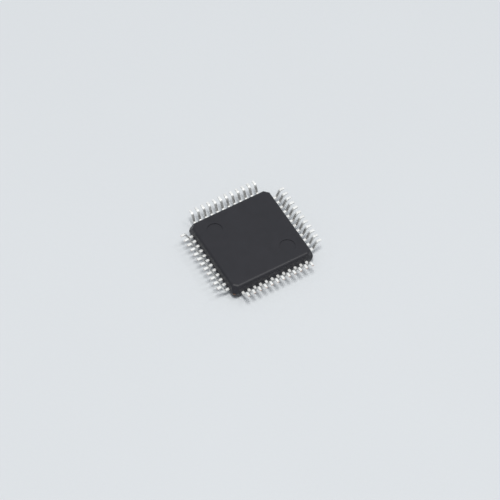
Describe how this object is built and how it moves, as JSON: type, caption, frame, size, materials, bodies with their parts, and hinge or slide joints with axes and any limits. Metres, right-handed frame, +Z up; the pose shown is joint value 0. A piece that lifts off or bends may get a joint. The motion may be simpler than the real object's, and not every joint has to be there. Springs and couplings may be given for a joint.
{
  "type": "quad flat pack chip",
  "caption": "Thin square moulded chip package with gull-wing leads along all four sides, lying on its top face with the feet up.",
  "frame": {"origin": "centre of the package's top face, which the chip lies on", "axes": "+Z up, out of the face between the feet, towards the board that the chip is soldered to; X and Y along the sides of the body, with pin 1 at the corner at -X and -Y"},
  "size_m": [0.009, 0.009, 0.0015],
  "materials": {
    "mold_compound": "satin",
    "tin_plated_lead": "satin",
    "lead_frame_copper": "satin",
    "silver_epoxy": "matte",
    "silicon": "polished",
    "gold_wire": "polished"
  },
  "bodies": {
    "root": {"mold_body": "mold_compound", "die_pad": "lead_frame_copper", "die_attach": "silver_epoxy", "die": "silicon", "bond_wires": "gold_wire", "lead_01": "tin_plated_lead", "lead_02": "tin_plated_lead", "lead_03": "tin_plated_lead", "lead_04": "tin_plated_lead", "lead_05": "tin_plated_lead", "lead_06": "tin_plated_lead", "lead_07": "tin_plated_lead", "lead_08": "tin_plated_lead", "lead_09": "tin_plated_lead", "lead_10": "tin_plated_lead", "lead_11": "tin_plated_lead", "lead_12": "tin_plated_lead", "lead_13": "tin_plated_lead", "lead_14": "tin_plated_lead", "lead_15": "tin_plated_lead", "lead_16": "tin_plated_lead", "lead_17": "tin_plated_lead", "lead_18": "tin_plated_lead", "lead_19": "tin_plated_lead", "lead_20": "tin_plated_lead", "lead_21": "tin_plated_lead", "lead_22": "tin_plated_lead", "lead_23": "tin_plated_lead", "lead_24": "tin_plated_lead", "lead_25": "tin_plated_lead", "lead_26": "tin_plated_lead", "lead_27": "tin_plated_lead", "lead_28": "tin_plated_lead", "lead_29": "tin_plated_lead", "lead_30": "tin_plated_lead", "lead_31": "tin_plated_lead", "lead_32": "tin_plated_lead", "lead_33": "tin_plated_lead", "lead_34": "tin_plated_lead", "lead_35": "tin_plated_lead", "lead_36": "tin_plated_lead", "lead_37": "tin_plated_lead", "lead_38": "tin_plated_lead", "lead_39": "tin_plated_lead", "lead_40": "tin_plated_lead", "lead_41": "tin_plated_lead", "lead_42": "tin_plated_lead", "lead_43": "tin_plated_lead", "lead_44": "tin_plated_lead", "lead_45": "tin_plated_lead", "lead_46": "tin_plated_lead", "lead_47": "tin_plated_lead", "lead_48": "tin_plated_lead"}
  },
  "joints": []
}
